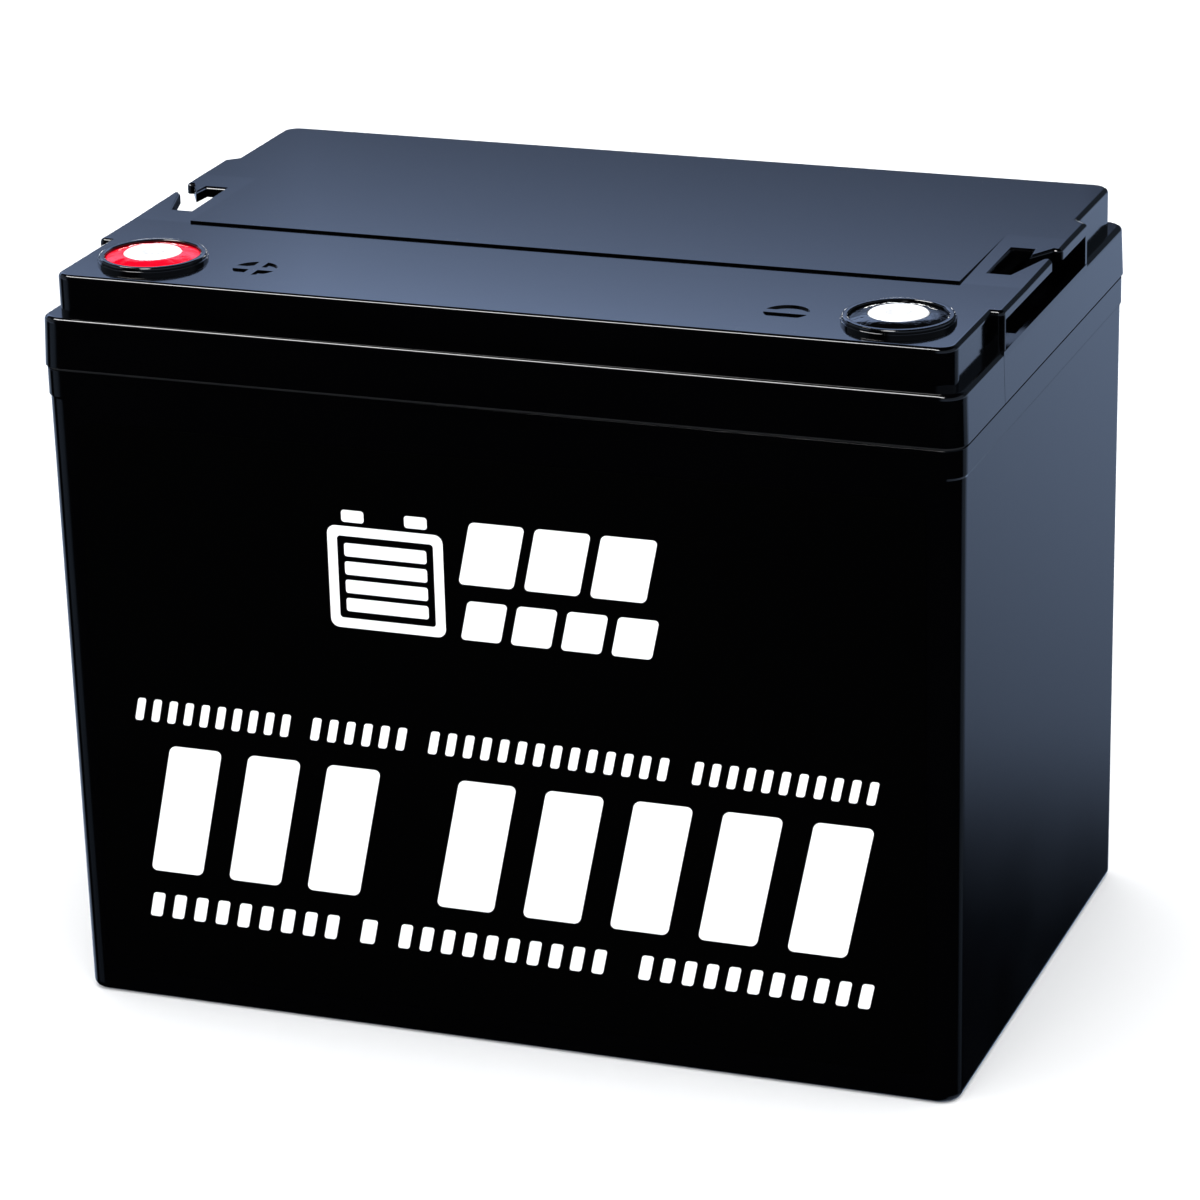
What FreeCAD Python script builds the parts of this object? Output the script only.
import FreeCAD, Part
import math
import os

V = FreeCAD.Vector
os.makedirs("parts", exist_ok=True)

# Deep cycle lithium battery in a standard 260 x 168 mm case, millimetres.
# x runs along the front, y runs backward, z is up, origin at the bottom centre.

# ---- driving dimensions -------------------------------------------------
LENGTH = 260.0            # outside of the lid skirt, along x
DEPTH = 168.0             # outside of the lid skirt, along y
SEAM_Z = 185.0            # lower edge of the lid skirt
RIM_Z = 199.0             # top of the lid skirt
DECK_Z = 210.0            # top of the lid at the front
PANEL_RISE = 0.6          # the rear of the deck stands this much higher
DISC_Z = 212.4            # contact face of the terminals
WALL = 3.5                # case wall
PLATE = 3.0               # lid plate
CORNER_R = 6.0            # vertical corners of case and skirt
DECK_CORNER_R = 5.0
POST_CORNER_R = 1.6       # front corner of each wing
EDGE_R = 1.3              # rounding along the deck's upper edges
RIM_EDGE_R = 1.5          # rounding along the skirt's upper edge
BASE_EDGE_R = 2.0
SEAM_GAP = 0.8
SEAM_EDGE_R = 0.15        # rounding along the case's upper edge

HX = LENGTH / 2
HY = DEPTH / 2

# case
BAND_H = 9.0              # plain band round the top of the case
BAND_INSET = 0.35
BAND_TAPER_H = 0.7        # the band's lower edge slants over this height
WALL_TOP_INSET = 0.7
WALL_FOOT_INSET_X = 1.9
WALL_FOOT_INSET_Y = 1.1
SKIRT_DRAFT = 0.38
BAND_Z = SEAM_Z - BAND_H
FLOOR_T = 4.0

# deck of the lid
DECK_HX = 126.3           # narrow ends of the deck
WING_HX = 129.5           # wide middle, flush with the skirt
DECK_FRONT_Y = -HY + 4.6
DECK_REAR_Y = HY - 4.5
WING_FRONT_Y = -44.0
WING_REAR_Y = 40.0
WING_CHAMFER = 3.0

# rope-handle recess under each wing and its keyhole slot
RECESS_HX = 112.5
RECESS_FRONT_Y = -42.2
RECESS_REAR_Y = 38.4
POCKET_IN_X = 113.5
POCKET_OUT_X = 126.9      # inner face of the rim that hides the pocket
POCKET_FRONT_Y = -27.5
POCKET_Z = 193.0
WING_T = 2.7
SLOT_IN_X = 116.1
SLOT_OUT_X = 122.1
SLOT_Y = 11.8
SLOT_EDGE_R = 0.45
LIP_R = 1.4               # round ends of the wing on both sides of the slot's mouth

# panel on the deck
PANEL_HX = 111.4
PANEL_FRONT_Y = -22.6
RAMP_REAR_Y = 23.0        # the low strip beside it has risen to its level here

# terminals
TERM_X = 105.7
TERM_Y = -59.2
TERM_R = 8.05
WELL_R = 13.0
WELL_Z = 206.4            # floor of the resin well
WELL_FLOOR_T = 3.2
RESIN_FILL = 5.4          # height of the resin at its two edges
COLLAR_R = 15.1
COLLAR_STEP = 0.35        # the collar's upper half is this much narrower
COLLAR_STEP_Z = 211.0
COLLAR_Z = 212.0
M8_TAP_R = 3.4
M8_DEPTH = 12.0
MARK_X = 75.4
MARK_R = 6.1
MARK_BAR = 1.3
MARK_DEPTH = 0.5

# prismatic cells, lying on their narrow side, terminals toward +x
CELL_LEN = 197.0
CELL_T = 36.35
CELL_H = 130.3
CELL_X0 = -119.0
CELL_Z0 = 7.0
SPACER_T = 1.0
BOARD_T = 1.5
CELL_COUNT = 4
PITCH = CELL_T + SPACER_T
CELL_X1 = CELL_X0 + CELL_LEN
CELL_TOP = CELL_Z0 + CELL_H
STUD_LOW_Z = CELL_Z0 + CELL_H / 2 - 44.0
STUD_HIGH_Z = CELL_Z0 + CELL_H / 2 + 44.0
PAD_T = 2.5               # raised contact pad under each stud
STUD_R = 3.0
BUS_T = 2.5
NUT_H = 5.5
PACK_HY = CELL_COUNT * CELL_T / 2 + (CELL_COUNT - 1) * SPACER_T / 2

# battery management board
TRAY_Z = CELL_TOP + 0.6
TRAY_T = 1.5
STANDOFF_H = 8.0
PCB_T = 1.6
PCB_X0, PCB_X1 = -75.0, 65.0
PCB_HY = 45.0
PCB_Z = TRAY_Z + TRAY_T + STANDOFF_H
PCB_TOP = PCB_Z + PCB_T

CABLE_R = 4.0
LUG_T = 2.5
LUG_BARREL_R = 5.0


# ---- helpers -----------------------------------------------------------
def save(name, *shapes):
    solids = [s for shape in shapes for s in shape.Solids]
    out = solids[0] if len(solids) == 1 else Part.makeCompound(solids)
    out.exportStep("parts/" + name + ".step")


def box(x0, x1, y0, y1, z0, z1):
    return Part.makeBox(x1 - x0, y1 - y0, z1 - z0, V(x0, y0, z0))


def cyl(x, y, z0, z1, r):
    return Part.makeCylinder(r, z1 - z0, V(x, y, z0))


def cyl_x(x0, x1, y, z, r):
    return Part.makeCylinder(r, x1 - x0, V(x0, y, z), V(1, 0, 0))


def tube(x, y, z0, z1, r_out, r_in):
    return cyl(x, y, z0, z1, r_out).cut(cyl(x, y, z0 - 1, z1 + 1, r_in))


def rounded_wire(hx, hy, r, z, cx=0.0, cy=0.0):
    """Rounded rectangle of half sizes hx, hy at height z."""
    d = r * math.sqrt(0.5)
    edges = []
    corners = [(1, -1), (1, 1), (-1, 1), (-1, -1)]
    ends = []
    for sx, sy in corners:
        cxx, cyy = cx + sx * (hx - r), cy + sy * (hy - r)
        a, b = V(cxx, cyy + sy * r, z), V(cxx + sx * r, cyy, z)
        if sx * sy > 0:
            a, b = b, a
        ends.append((a, V(cxx + sx * d, cyy + sy * d, z), b))
    for i, (a, m, b) in enumerate(ends):
        edges.append(Part.Arc(a, m, b).toShape())
        edges.append(Part.makeLine(b, ends[(i + 1) % 4][0]))
    return Part.Wire(edges)


def rounded_loft(levels):
    """Ruled solid through rounded rectangles given as (hx, hy, r, z)."""
    return Part.makeLoft([rounded_wire(*level) for level in levels], True, True)


def rounded_prism(hx, hy, r, z0, z1, cx=0.0, cy=0.0):
    return Part.Face(rounded_wire(hx, hy, r, z0, cx, cy)).extrude(V(0, 0, z1 - z0))


def ring_prism(hx_out, hx_in, z0, z1):
    """Band that follows the case outline between two half lengths."""
    inset_out, inset_in = HX - hx_out, HX - hx_in
    outer = rounded_prism(hx_out, HY - inset_out, CORNER_R - inset_out, z0, z1)
    inner = rounded_prism(hx_in, HY - inset_in, CORNER_R - inset_in, z0 - 1, z1 + 1)
    return outer.cut(inner)


def polygon_prism(points, z0, z1):
    wire = Part.makePolygon([V(x, y, z0) for x, y in points + points[:1]])
    return Part.Face(wire).extrude(V(0, 0, z1 - z0))


def hexagon(x, y, z0, z1, across, hole_r=0.0):
    r = across / math.sqrt(3)
    points = [(x + r * math.cos(math.radians(60 * k)),
               y + r * math.sin(math.radians(60 * k))) for k in range(6)]
    nut = polygon_prism(points, z0, z1)
    return nut.cut(cyl(x, y, z0 - 1, z1 + 1, hole_r)) if hole_r else nut


def mirror_x(shape):
    return shape.mirror(V(0, 0, 0), V(1, 0, 0))


def revolve(profile, x, y):
    """Turn a closed (radius, z) outline round the vertical axis at x, y."""
    wire = Part.makePolygon([V(x + r, y, z) for r, z in profile + profile[:1]])
    return Part.Face(wire).revolve(V(x, y, 0), V(0, 0, 1), 360)


def arc_points(cx, cz, r, a0, a1, steps):
    return [(cx + r * math.cos(math.radians(a0 + (a1 - a0) * k / steps)),
             cz + r * math.sin(math.radians(a0 + (a1 - a0) * k / steps)))
            for k in range(steps + 1)]


def lead(points, radius, bend):
    """Round cable along a polyline whose corners are arcs of radius bend."""
    pts = [V(*p) for p in points]
    edges = []
    start = pts[0]
    for i in range(1, len(pts) - 1):
        a = (pts[i - 1] - pts[i]).normalize()
        b = (pts[i + 1] - pts[i]).normalize()
        half = a.getAngle(b) / 2
        run = bend / math.tan(half)
        t0, t1 = pts[i] + a * run, pts[i] + b * run
        centre = pts[i] + (a + b).normalize() * (bend / math.sin(half))
        mid = centre + (pts[i] - centre).normalize() * bend
        if (t0 - start).Length > 1e-4:
            edges.append(Part.makeLine(start, t0))
        edges.append(Part.Arc(t0, mid, t1).toShape())
        start = t1
    edges.append(Part.makeLine(start, pts[-1]))
    path = Part.Wire(edges)
    disc = Part.Wire([Part.makeCircle(radius, pts[0], pts[1] - pts[0])])
    return path.makePipeShell([disc], True, True)


def placed(shape, at, x_axis, z_axis):
    """Copy of shape with its own x and z axes turned to the given ones."""
    x_axis, z_axis = V(*x_axis), V(*z_axis)
    turn = FreeCAD.Rotation(x_axis, z_axis.cross(x_axis), z_axis, "ZXY")
    copy = shape.copy()
    copy.Placement = FreeCAD.Placement(V(*at), turn)
    return copy


# ---- case -------------------------------------------------------------
def case_half_y(z):
    """Half depth of the tapered case wall at height z."""
    top, foot = HY - WALL_TOP_INSET, HY - WALL_FOOT_INSET_Y
    return foot + (top - foot) * z / BAND_Z


def case_container():
    foot_x, foot_y = HX - WALL_FOOT_INSET_X, HY - WALL_FOOT_INSET_Y
    top_x, top_y = HX - WALL_TOP_INSET, HY - WALL_TOP_INSET
    band_x, band_y = HX - BAND_INSET, HY - BAND_INSET
    wall = rounded_loft([(foot_x, foot_y, CORNER_R, 0), (top_x, top_y, CORNER_R, BAND_Z)])
    base_edges = [e for e in wall.Edges if e.BoundBox.ZMax < 0.01]
    wall = wall.makeFillet(BASE_EDGE_R, base_edges)
    band = rounded_loft([(top_x, top_y, CORNER_R, BAND_Z),
                         (band_x, band_y, CORNER_R, BAND_Z + BAND_TAPER_H)])
    collar = rounded_prism(band_x, band_y, CORNER_R, BAND_Z + BAND_TAPER_H,
                           SEAM_Z - SEAM_GAP)
    collar_edges = [e for e in collar.Edges if e.BoundBox.ZMin > SEAM_Z - SEAM_GAP - 0.01]
    band = band.fuse(collar.makeFillet(SEAM_EDGE_R, collar_edges))
    inside = rounded_loft([
        (foot_x - WALL, foot_y - WALL, CORNER_R - WALL, FLOOR_T),
        (top_x - WALL, top_y - WALL, CORNER_R - WALL, SEAM_Z + 1)])
    tongue = ring_prism(HX - 1.9, HX - 3.3, SEAM_Z - SEAM_GAP, SEAM_Z + 3.0)
    return wall.fuse(band).cut(inside).fuse(tongue).removeSplitter()


def lid_seal_bead():
    z0, z1 = SEAM_Z - SEAM_GAP, SEAM_Z
    return [ring_prism(HX - 0.9, HX - 1.8, z0, z1), ring_prism(HX - 3.4, HX - 4.1, z0, z1)]


# ---- lid --------------------------------------------------------------
def deck_outline():
    """Right half of the deck edge from front to rear, then mirrored."""
    right = [
        (DECK_HX, DECK_FRONT_Y),
        (DECK_HX, WING_FRONT_Y),
        (WING_HX, WING_FRONT_Y),
        (WING_HX, WING_REAR_Y),
        (DECK_HX, WING_REAR_Y + WING_CHAMFER),
        (DECK_HX, DECK_REAR_Y),
    ]
    left = [(-x, y) for x, y in reversed(right)]
    return right + left


def slot_outline():
    """Keyhole slot whose mouth slants backward to the wing's edge between round lips."""
    lip_x = WING_HX - LIP_R
    front_lip = arc_points(lip_x, 3.4, LIP_R, 165, 0, 5)
    rear_lip = arc_points(lip_x, 15.0, LIP_R, 0, -125, 4)
    return [(SLOT_IN_X, -SLOT_Y), (SLOT_OUT_X, -SLOT_Y)] + front_lip + [
        (WING_HX + 3, 3.4), (WING_HX + 3, 15.0)] + rear_lip + [
        (SLOT_OUT_X + 0.6, 5.6), (SLOT_OUT_X, SLOT_Y), (SLOT_IN_X, SLOT_Y)]


def slot_cutter():
    """Slot with a rounded upper edge, built as a stack of wider outlines."""
    flat = Part.makePolygon([V(x, y, 0) for x, y in slot_outline() + slot_outline()[:1]])
    levels = [(RIM_Z + 1, 0.0)]
    for k in range(4):
        a = math.radians(30 * k)
        levels.append((DECK_Z - SLOT_EDGE_R * (1 - math.sin(a)),
                       SLOT_EDGE_R * (1 - math.cos(a))))
    levels.append((DECK_Z + 5, SLOT_EDGE_R))
    wires = []
    for z, grow in levels:
        wire = flat.makeOffset2D(grow, 2) if grow > 0 else flat.copy()
        wire.translate(V(0, 0, z))
        wires.append(wire)
    return Part.makeLoft(wires, True, True)


def side_strip(z0, z1):
    """Low strip beside the panel that rises evenly to the rear level."""
    side = [(PANEL_FRONT_Y, z1 + 2), (PANEL_FRONT_Y, z0), (RAMP_REAR_Y, z1),
            (RAMP_REAR_Y, z1 + 2)]
    wire = Part.makePolygon([V(PANEL_HX, y, z) for y, z in side + side[:1]])
    return Part.Face(wire).extrude(V(HX - PANEL_HX + 5, 0, 0))


def deck_block():
    top = DECK_Z + PANEL_RISE
    block = polygon_prism(deck_outline(), RIM_Z - PLATE, top)
    corners = []
    for e in block.Edges:
        b = e.BoundBox
        if b.ZLength > 5 and abs(abs(b.Center.x) - DECK_HX) < 0.1 and (
                b.YMax < DECK_FRONT_Y + 0.1 or b.YMin > DECK_REAR_Y - 0.1):
            corners.append(e)
    block = block.makeFillet(DECK_CORNER_R, corners)
    posts = [e for e in block.Edges if e.BoundBox.ZLength > 5
             and abs(abs(e.BoundBox.Center.x) - WING_HX) < 0.1
             and e.BoundBox.YMax < WING_FRONT_Y + 0.1]
    block = block.makeFillet(POST_CORNER_R, posts)
    block = block.cut(box(-HX, HX, -HY, PANEL_FRONT_Y, DECK_Z, top + 1))
    strip = side_strip(DECK_Z, top)
    return block.cut(strip).cut(mirror_x(strip)).removeSplitter()


def rounded_top_edges(block):
    """Edges of the deck's rim that get the moulded rounding."""
    picked = []
    for e in block.Edges:
        b = e.BoundBox
        if b.ZMin < DECK_Z - 0.01:
            continue
        mid = e.valueAt((e.FirstParameter + e.LastParameter) / 2)
        at_front = mid.y < DECK_FRONT_Y + DECK_CORNER_R - 0.5
        at_rear = mid.y > DECK_REAR_Y - DECK_CORNER_R + 0.5
        at_side = abs(mid.x) > DECK_HX - 0.1
        if at_front or at_rear or at_side:
            picked.append(e)
    return picked


def lid_skirt():
    top_x, top_y = HX - SKIRT_DRAFT, HY - SKIRT_DRAFT
    shoulder_z = RIM_Z - RIM_EDGE_R - 0.4
    skirt = rounded_loft([(HX, HY, CORNER_R, SEAM_Z), (top_x, top_y, CORNER_R, shoulder_z)])
    shoulder = rounded_prism(top_x, top_y, CORNER_R, shoulder_z, RIM_Z)
    top_edges = [e for e in shoulder.Edges if e.BoundBox.ZMin > RIM_Z - 0.01]
    return skirt.fuse(shoulder.makeFillet(RIM_EDGE_R, top_edges))


def wing_fill():
    """Flush wall that brings the wing down to the skirt's face."""
    reach = HX - SKIRT_DRAFT
    wall = box(DECK_HX - 4, reach, WING_FRONT_Y, WING_REAR_Y, RIM_Z - PLATE, RIM_Z)
    return wall


def handle_pocket(grow):
    """Pocket behind the rim under the wing, or its shell when grown by the wall."""
    x0, x1, z0 = POCKET_IN_X - grow, POCKET_OUT_X + min(grow, 1.0), POCKET_Z - grow
    round_r = 1.2
    side = [(x0, z0), (x1, z0), (x1, RIM_Z - round_r)]
    if grow:
        side += [(x1, RIM_Z), (x0, RIM_Z)]
    else:
        side += arc_points(x1 + round_r, RIM_Z - round_r, round_r, 180, 90, 5)[1:]
        side += [(x1 + round_r, RIM_Z + 1), (x0, RIM_Z + 1)]
    y0, y1 = POCKET_FRONT_Y - grow, RECESS_REAR_Y + grow
    wire = Part.makePolygon([V(x, y0, z) for x, z in side + side[:1]])
    return Part.Face(wire).extrude(V(0, y1 - y0, 0))


def terminal_collar(x):
    upper = COLLAR_R - COLLAR_STEP
    outline = [(WELL_R, DECK_Z - 0.5), (COLLAR_R, DECK_Z - 0.5)]
    outline += arc_points(COLLAR_R - 0.25, COLLAR_STEP_Z - 0.25, 0.25, 0, 90, 5)
    outline.append((upper, COLLAR_STEP_Z))
    outline += arc_points(upper - 0.6, COLLAR_Z - 0.6, 0.6, 0, 90, 6)
    outline += arc_points(WELL_R + 0.5, COLLAR_Z - 0.5, 0.5, 90, 180, 5)
    return revolve(outline, x, TERM_Y)


def polarity_recess(x, plus):
    recess = cyl(x, TERM_Y, DECK_Z - MARK_DEPTH, DECK_Z + 1, MARK_R)
    bars = [box(x - MARK_R, x + MARK_R, TERM_Y - MARK_BAR, TERM_Y + MARK_BAR,
                DECK_Z - 2, DECK_Z + 2)]
    if plus:
        bars.append(box(x - MARK_BAR, x + MARK_BAR, TERM_Y - MARK_R, TERM_Y + MARK_R,
                        DECK_Z - 2, DECK_Z + 2))
    for bar in bars:
        recess = recess.cut(bar)
    return recess


def case_lid():
    block = deck_block()
    block = block.makeFillet(EDGE_R, rounded_top_edges(block))
    body = lid_skirt().fuse(block)
    for side in (1, -1):
        wall = wing_fill()
        body = body.fuse(wall if side > 0 else mirror_x(wall))
    # hollow underside
    inner_hx, inner_hy = HX - 4.1, HY - 4.1
    body = body.cut(rounded_prism(inner_hx, inner_hy, 2.5, SEAM_Z - 1, RIM_Z - PLATE))
    deck_in_y0, deck_in_y1 = DECK_FRONT_Y + PLATE, DECK_REAR_Y - PLATE
    deck_in = box(-DECK_HX + PLATE, DECK_HX - PLATE, deck_in_y0, deck_in_y1,
                  RIM_Z - PLATE - 1, DECK_Z - PLATE)
    guard = box(RECESS_HX - PLATE, HX, WING_FRONT_Y - 1.6, WING_REAR_Y + 2,
                RIM_Z - PLATE - 2, DECK_Z + 2)
    deck_in = deck_in.cut(guard).cut(mirror_x(guard))
    body = body.cut(deck_in)
    # handle recesses, their pockets and the slots
    shell = handle_pocket(PLATE)
    body = body.fuse(shell).fuse(mirror_x(shell))
    recess = box(RECESS_HX, HX + 5, RECESS_FRONT_Y, RECESS_REAR_Y, RIM_Z, DECK_Z - WING_T)
    for cutter in (recess, handle_pocket(0), slot_cutter()):
        body = body.cut(cutter).cut(mirror_x(cutter))
    # parting line of the wing's flush side wall
    line = box(HX - 0.8, HX + 1, WING_FRONT_Y - 0.25, WING_FRONT_Y, SEAM_Z - 1, RIM_Z - 1)
    body = body.cut(line).cut(mirror_x(line))
    # tongue groove
    body = body.cut(ring_prism(HX - 1.8, HX - 3.4, SEAM_Z - 1, SEAM_Z + 3.3))
    # terminal wells
    for x in (-TERM_X, TERM_X):
        boss = cyl(x, TERM_Y, WELL_Z - WELL_FLOOR_T, DECK_Z - 1, WELL_R + 2.5)
        body = body.fuse(boss).fuse(terminal_collar(x))
        body = body.cut(cyl(x, TERM_Y, WELL_Z, COLLAR_Z + 1, WELL_R))
        body = body.cut(cyl(x, TERM_Y, WELL_Z - WELL_FLOOR_T - 1, WELL_Z + 1, TERM_R + 0.1))
        body = body.cut(tube(x, TERM_Y, WELL_Z - 1.5, WELL_Z + 1, 10.8, 8.9))
    body = body.cut(polarity_recess(-MARK_X, True)).cut(polarity_recess(MARK_X, False))
    return body.removeSplitter()


# ---- terminals --------------------------------------------------------
INSERT_FOOT_Z = 194.0
NUT_Z = 198.8


def terminal_insert(x):
    """Tinned brass bush: M8 from above, M6 from below for the lead's lug."""
    top = revolve([(0, INSERT_FOOT_Z), (TERM_R, INSERT_FOOT_Z), (TERM_R, WELL_Z),
                   (11.0, WELL_Z), (11.0, WELL_Z + 1.8), (TERM_R, WELL_Z + 1.8),
                   (TERM_R, DISC_Z - 0.4), (TERM_R - 0.4, DISC_Z), (0, DISC_Z)], x, TERM_Y)
    top = top.cut(cyl(x, TERM_Y, DISC_Z - M8_DEPTH, DISC_Z + 1, M8_TAP_R))
    return top.cut(cyl(x, TERM_Y, INSERT_FOOT_Z - 1, INSERT_FOOT_Z + 4.6, 2.9))


def resin_ring(x):
    """Potting resin in the well with a shallow meniscus."""
    r_in, r_out = TERM_R + 0.02, WELL_R - 0.02
    z_edge = WELL_Z + RESIN_FILL
    mid, dip = (r_in + r_out) / 2, 0.5
    chord = (r_out - r_in) / 2
    radius = (chord * chord + dip * dip) / (2 * dip)
    sweep = math.degrees(math.asin(chord / radius))
    meniscus = arc_points(mid, z_edge - dip + radius, radius, 270 - sweep, 270 + sweep, 8)
    outline = [(r_out, WELL_Z), (11.02, WELL_Z), (11.02, WELL_Z + 1.82), (r_in, WELL_Z + 1.82)]
    return revolve(outline + meniscus, x, TERM_Y)


def lug(hole_r):
    """Crimp lug lying on z = 0 with its barrel toward +x."""
    pad = cyl(0, 0, 0, LUG_T, 8.0).fuse(box(0, 16, -6, 6, 0, LUG_T))
    barrel = cyl_x(14, 28, 0, LUG_BARREL_R, LUG_BARREL_R)
    body = pad.fuse(barrel).cut(cyl_x(15.5, 29, 0, LUG_BARREL_R, CABLE_R + 0.05))
    return body.cut(cyl(0, 0, -1, 12, hole_r)).removeSplitter()


# ---- cells ------------------------------------------------------------
def cell_y(i):
    return (i - (CELL_COUNT - 1) / 2) * PITCH


def cell(i):
    y = cell_y(i)
    can = box(CELL_X0, CELL_X1, y - CELL_T / 2, y + CELL_T / 2, CELL_Z0, CELL_TOP)
    can = can.makeFillet(2.0, [e for e in can.Edges if e.BoundBox.XLength > 100])
    for z in (STUD_LOW_Z, STUD_HIGH_Z):
        can = can.fuse(box(CELL_X1, CELL_X1 + PAD_T, y - 9, y + 9, z - 9, z + 9))
        can = can.cut(cyl_x(CELL_X1 - 3, CELL_X1 + PAD_T + 1, y, z, STUD_R))
    return can.cut(cyl_x(CELL_X1 - 0.8, CELL_X1 + 1, y, CELL_Z0 + CELL_H / 2, 8.0))


def studs():
    return [cyl_x(CELL_X1 - 3, CELL_X1 + 15.0, cell_y(i), z, STUD_R)
            for i in range(CELL_COUNT) for z in (STUD_LOW_Z, STUD_HIGH_Z)]


def stud_nut(y, z):
    x0 = CELL_X1 + PAD_T + BUS_T + 1.0
    nut = hexagon(0, 0, 0, NUT_H, 10.0).fuse(cyl(0, 0, 0, 1.2, 6.8))
    nut = nut.cut(cyl(0, 0, -1, NUT_H + 1, STUD_R))
    return placed(nut, (x0, y, z), (0, 1, 0), (1, 0, 0))


def stud_washer(y, z):
    x0 = CELL_X1 + PAD_T + BUS_T
    return cyl_x(x0, x0 + 1.0, y, z, 6.0).cut(cyl_x(x0 - 1, x0 + 2, y, z, STUD_R + 0.2))


def busbar(i, z):
    """Copper link from cell i to cell i + 1 with rounded ends."""
    x0 = CELL_X1 + PAD_T
    ya, yb = cell_y(i), cell_y(i + 1)
    bar = box(x0, x0 + BUS_T, ya, yb, z - 8, z + 8)
    for y in (ya, yb):
        bar = bar.fuse(cyl_x(x0, x0 + BUS_T, y, z, 8))
    for y in (ya, yb):
        bar = bar.cut(cyl_x(x0 - 1, x0 + BUS_T + 1, y, z, STUD_R + 0.1))
    return bar.removeSplitter()


STRAP_X = (-75.0, 30.0)
STRAP_W = 13.0
STRAP_T = 0.5
SIDE_Y = PACK_HY + BOARD_T


def strap(x):
    outer = box(x, x + STRAP_W, -SIDE_Y - STRAP_T, SIDE_Y + STRAP_T,
                CELL_Z0 - STRAP_T, CELL_TOP + STRAP_T)
    return outer.cut(box(x - 1, x + STRAP_W + 1, -SIDE_Y, SIDE_Y, CELL_Z0, CELL_TOP))


def strap_clip(x):
    z0 = CELL_TOP + STRAP_T
    clip = box(x - 1.5, x + STRAP_W + 1.5, 56, 74, z0, z0 + 1.2)
    return clip


def base_pad():
    pad = box(-122, 95, -76.5, 76.5, FLOOR_T, CELL_Z0)
    for x in STRAP_X:
        pad = pad.cut(box(x - 0.5, x + STRAP_W + 0.5, -80, 80, CELL_Z0 - STRAP_T - 0.1, 10))
    return pad


# ---- management board -------------------------------------------------
BOARD_HOLES = [(x, y) for x in (PCB_X0 + 6, PCB_X1 - 6) for y in (-PCB_HY + 5, PCB_HY - 5)]


def bms_tray():
    x0, x1, hy = PCB_X0 - 5, PCB_X1 + 3, PCB_HY + 4
    tray = box(x0, x1, -hy, hy, TRAY_Z, TRAY_Z + TRAY_T)
    return tray.fuse(box(x0, x0 + TRAY_T, -hy, hy, TRAY_Z, TRAY_Z + 6)).removeSplitter()


def bms_board():
    board = box(PCB_X0, PCB_X1, -PCB_HY, PCB_HY, PCB_Z, PCB_TOP)
    for x, y in BOARD_HOLES:
        board = board.cut(cyl(x, y, PCB_Z - 1, PCB_TOP + 1, 1.7))
    for y in (-30.0, 30.0):
        board = board.cut(cyl(PCB_X1 - 22, y, PCB_Z - 1, PCB_TOP + 1, 2.6))
    return board


def standoff(x, y):
    z0 = TRAY_Z + TRAY_T
    return hexagon(x, y, z0, PCB_Z, 5.5, 1.3)


def pan_screw(x, y, z, head_r, shank_r, length):
    head = cyl(x, y, z, z + head_r * 0.7, head_r).cut(
        cyl(x, y, z + head_r * 0.35, z + head_r, head_r * 0.4))
    return head.fuse(cyl(x, y, z - length, z, shank_r)).removeSplitter()


MOSFET_H = 4.6
MOSFET_X = [-58 + 14.0 * k for k in range(7)]


def mosfet(x, y):
    return box(x - 5, x + 5, y - 7.5, y + 7.5, PCB_TOP, PCB_TOP + MOSFET_H)


def heat_sink():
    z0 = PCB_TOP + MOSFET_H
    sink = box(-66, 34, -26, 26, z0, z0 + 4)
    for k in range(9):
        y = -24 + 6.0 * k
        sink = sink.fuse(box(-66, 34, y - 0.8, y + 0.8, z0 + 4, z0 + 12))
    return sink.removeSplitter()


# ---- leads ------------------------------------------------------------
LUG_X = CELL_X1 + PAD_T
STUD_RISE = STUD_HIGH_Z + 16.5
CABLE_X = LUG_X + LUG_BARREL_R
INSERT_CABLE_Z = INSERT_FOOT_Z - LUG_BARREL_R
PCB_LUG_X = PCB_X1 - 22
PCB_CABLE_Z = PCB_TOP + LUG_BARREL_R
FRONT_Y, BACK_Y = cell_y(0), cell_y(CELL_COUNT - 1)

POSITIVE_ROUTE = [
    (CABLE_X, FRONT_Y, STUD_RISE),
    (CABLE_X, FRONT_Y, 165.0),
    (-42.0, TERM_Y, 165.0),
    (-62.0, TERM_Y, INSERT_CABLE_Z),
    (-TERM_X + 16.5, TERM_Y, INSERT_CABLE_Z),
]
PACK_NEGATIVE_ROUTE = [
    (CABLE_X, BACK_Y, STUD_RISE),
    (CABLE_X, BACK_Y, PCB_CABLE_Z + 1),
    (CABLE_X - 8, 30.0, PCB_CABLE_Z),
    (PCB_LUG_X + 16.5, 30.0, PCB_CABLE_Z),
]
LOAD_NEGATIVE_ROUTE = [
    (PCB_LUG_X + 16.5, -30.0, PCB_CABLE_Z),
    (PCB_LUG_X + 34.0, -30.0, PCB_CABLE_Z),
    (TERM_X, -20.0, PCB_CABLE_Z),
    (TERM_X, -20.0, INSERT_CABLE_Z),
    (TERM_X, TERM_Y + 16.5, INSERT_CABLE_Z),
]


def stud_lug(y):
    return placed(lug(STUD_R + 0.2), (LUG_X, y, STUD_HIGH_Z), (0, 0, 1), (1, 0, 0))


def insert_lug(x, run):
    return placed(lug(3.2), (x, TERM_Y, INSERT_FOOT_Z), run, (0, 0, -1))


def foot_screw(x):
    """Hex screw that clamps the lead's lug to the foot of a terminal."""
    z = INSERT_FOOT_Z - LUG_T
    screw = hexagon(x, TERM_Y, z - 4.0, z, 10.0)
    return screw.fuse(cyl(x, TERM_Y, z, INSERT_FOOT_Z + 4.2, 2.9)).removeSplitter()


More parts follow.
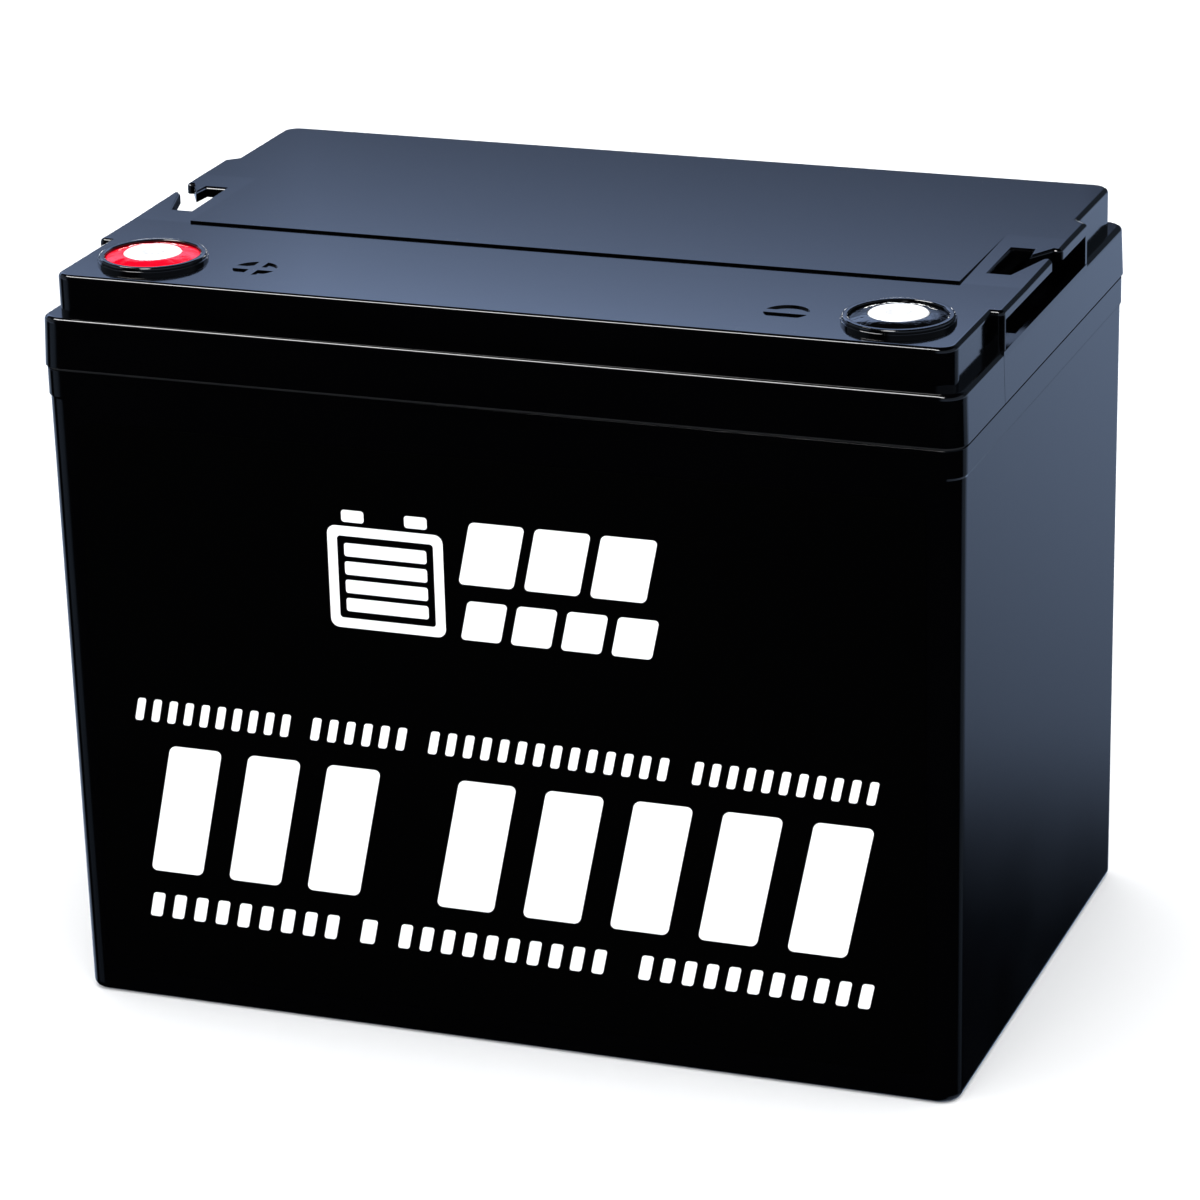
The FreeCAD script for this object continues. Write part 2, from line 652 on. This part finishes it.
TAP_R = 0.8
TAPS = [(0, STUD_HIGH_Z, 1), (1, STUD_LOW_Z, 1), (1, STUD_HIGH_Z, 1),
        (2, STUD_LOW_Z, 1), (3, STUD_HIGH_Z, -1)]


def tap_wire(k):
    """Balance wire from the header down the end of the pack to its stud."""
    i, z, side = TAPS[k]
    x_lane = LUG_X + 11.0
    y_head = -8.0 + 4.0 * k
    y_stud = cell_y(i)
    y_lane = y_stud + side * PITCH / 2
    nut_x = CELL_X1 + PAD_T + BUS_T + 1.0 + NUT_H + TAP_R + 0.1
    return lead([(PCB_X1 - 4.0, y_head, PCB_TOP + 3.5),
                 (PCB_X1 + 6.0, y_head, PCB_TOP + 3.5),
                 (x_lane, y_lane, PCB_TOP - 2.0),
                 (x_lane, y_lane, z),
                 (nut_x, y_stud + side * 5.2, z)], TAP_R, 2.2)


def tap_ring(k):
    i, z, side = TAPS[k]
    y = cell_y(i)
    x0 = CELL_X1 + PAD_T + BUS_T + 1.0 + NUT_H
    ring = cyl_x(x0, x0 + 1.0, y, z, 5.0).cut(cyl_x(x0 - 1, x0 + 2, y, z, STUD_R + 0.1))
    return ring


PROBE_X, PROBE_Y = 72.0, 18.0


def temperature_probe():
    """Sensor bead on the cells with its wire up to the board."""
    z = CELL_TOP + 2.5
    bead = cyl_x(PROBE_X - 3, PROBE_X + 5, PROBE_Y, z, 2.5)
    wire = lead([(PROBE_X, PROBE_Y, z), (PROBE_X, PROBE_Y, PCB_TOP + 3),
                 (PCB_X1 - 3, PROBE_Y, PCB_TOP + 3), (PCB_X1 - 3, PROBE_Y, PCB_TOP)],
                0.7, 1.2)
    return bead.fuse(wire).removeSplitter()


# ---- front label and foam ------------------------------------------------
LABEL_HX = 120.0
LABEL_Z0, LABEL_Z1 = 8.0, 170.0
LABEL_T = 0.3
LABEL_R = 4.0


def front_label():
    """Printed film that lies on the tapered front wall."""
    y0, y1 = -case_half_y(LABEL_Z0), -case_half_y(LABEL_Z1)
    side = [(y0, LABEL_Z0), (y1, LABEL_Z1), (y1 - LABEL_T, LABEL_Z1), (y0 - LABEL_T, LABEL_Z0)]
    wire = Part.makePolygon([V(-LABEL_HX, y, z) for y, z in side + side[:1]])
    film = Part.Face(wire).extrude(V(2 * LABEL_HX, 0, 0))
    across = [e for e in film.Edges if e.BoundBox.XLength < 0.01 and e.BoundBox.ZLength < 0.1]
    return film.makeFillet(LABEL_R, across)


def terminal_board():
    """Insulating sheet between the cell studs and the end of the case."""
    x0 = CELL_X1 + 21.0
    return box(x0, x0 + BOARD_T, -70, 70, CELL_Z0 + 1, CELL_TOP)


def end_foam():
    x0 = CELL_X1 + 21.0 + BOARD_T
    right = [box(x0, HX - WALL_FOOT_INSET_X - WALL, y - 14, y + 14, CELL_Z0 + 2, CELL_TOP - 4)
             for y in (-46.0, 46.0)]
    left = box(-HX + WALL_FOOT_INSET_X + WALL, CELL_X0, -66, 66, CELL_Z0 + 2, CELL_TOP - 4)
    return right + [left]


def side_foam():
    inner = HY - WALL_FOOT_INSET_Y - WALL
    y0 = SIDE_Y + STRAP_T
    pad = box(-110, 74, y0, inner, CELL_Z0 + 3, CELL_TOP - 6)
    return [pad, pad.mirror(V(0, 0, 0), V(0, 1, 0))]


def top_foam():
    z0, z1 = CELL_TOP + STRAP_T, DECK_Z - PLATE
    return [box(-107, -88, -40, 40, z0, z1), box(-55, 25, 54, 74, z0 + 1.3, z1)]


# ---- write every piece -------------------------------------------------
CELLS = range(CELL_COUNT)
TERMINALS = {"positive": -TERM_X, "negative": TERM_X}
STUD_SPOTS = [(cell_y(i), z) for i in CELLS for z in (STUD_LOW_Z, STUD_HIGH_Z)]

save("case_container", case_container())
save("case_lid", case_lid())
save("lid_seal_bead", *lid_seal_bead())
save("front_label", front_label())

for sign, x in TERMINALS.items():
    save("terminal_insert_" + sign, terminal_insert(x))
save("resin_ring_red", resin_ring(-TERM_X))
save("resin_ring_black", resin_ring(TERM_X))
save("terminal_o_rings", *[Part.makeTorus(9.85, 0.75, V(x, TERM_Y, WELL_Z - 0.75))
                           for x in TERMINALS.values()])
save("terminal_washers", *[tube(x, TERM_Y, NUT_Z + 3.6, WELL_Z - WELL_FLOOR_T, 12.0,
                                TERM_R + 0.1) for x in TERMINALS.values()])
save("terminal_lock_nuts", *[hexagon(x, TERM_Y, NUT_Z, NUT_Z + 3.6, 21.0, TERM_R)
                             for x in TERMINALS.values()])
save("terminal_foot_screws", *[foot_screw(x) for x in TERMINALS.values()])

for i in CELLS:
    save("cell_%d" % (i + 1), cell(i))
save("cell_studs", *studs())
save("cell_safety_vents", *[cyl_x(CELL_X1 - 0.8, CELL_X1 - 0.3, cell_y(i),
                                  CELL_Z0 + CELL_H / 2, 8.0) for i in CELLS])
save("cell_spacers", *[box(CELL_X0, CELL_X1, y - SPACER_T / 2, y + SPACER_T / 2,
                           CELL_Z0, CELL_TOP)
                       for y in [cell_y(i) + PITCH / 2 for i in CELLS if i < CELL_COUNT - 1]])
save("pack_side_boards", *[box(CELL_X0, CELL_X1, min(s * PACK_HY, s * SIDE_Y),
                               max(s * PACK_HY, s * SIDE_Y), CELL_Z0, CELL_TOP)
                           for s in (-1, 1)])
save("pack_straps", *[strap(x) for x in STRAP_X])
save("strap_clips", *[strap_clip(x) for x in STRAP_X])
save("base_pad", base_pad())
save("side_foam_pads", *side_foam())
save("end_foam_pads", *end_foam())
save("top_foam_blocks", *top_foam())
save("terminal_board", terminal_board())

save("series_busbars", busbar(0, STUD_LOW_Z), busbar(1, STUD_HIGH_Z), busbar(2, STUD_LOW_Z))
save("stud_washers", *[stud_washer(y, z) for y, z in STUD_SPOTS])
save("stud_nuts", *[stud_nut(y, z) for y, z in STUD_SPOTS])

save("bms_tray", bms_tray())
save("bms_board", bms_board())
save("bms_standoffs", *[standoff(x, y) for x, y in BOARD_HOLES])
save("bms_screws", *[pan_screw(x, y, PCB_TOP, 2.8, 1.25, 7.0) for x, y in BOARD_HOLES])
save("bms_mosfets", *[mosfet(x, y) for x in MOSFET_X for y in (-14.0, 14.0)])
save("bms_heat_sink", heat_sink())
save("bms_header", box(PCB_X1 - 9, PCB_X1 - 1, -12, 12, PCB_TOP, PCB_TOP + 6)
     .cut(box(PCB_X1 - 7.5, PCB_X1, -10.5, 10.5, PCB_TOP + 1.5, PCB_TOP + 7)))
save("bms_lead_screws", *[pan_screw(PCB_LUG_X, y, PCB_TOP + LUG_T, 5.0, 2.5, 7.0)
                          for y in (-30.0, 30.0)])

save("positive_lead", lead(POSITIVE_ROUTE, CABLE_R, 12.0))
save("pack_negative_lead", lead(PACK_NEGATIVE_ROUTE, CABLE_R, 7.0))
save("load_negative_lead", lead(LOAD_NEGATIVE_ROUTE, CABLE_R, 9.0))
save("lead_lugs", stud_lug(FRONT_Y), stud_lug(BACK_Y),
     insert_lug(-TERM_X, (1, 0, 0)), insert_lug(TERM_X, (0, 1, 0)),
     *[placed(lug(2.6), (PCB_LUG_X, y, PCB_TOP), (1, 0, 0), (0, 0, 1))
       for y in (-30.0, 30.0)])
save("balance_wires", *[tap_wire(k) for k in range(len(TAPS))])
save("balance_rings", *[tap_ring(k) for k in range(len(TAPS))])
save("temperature_probe", temperature_probe())
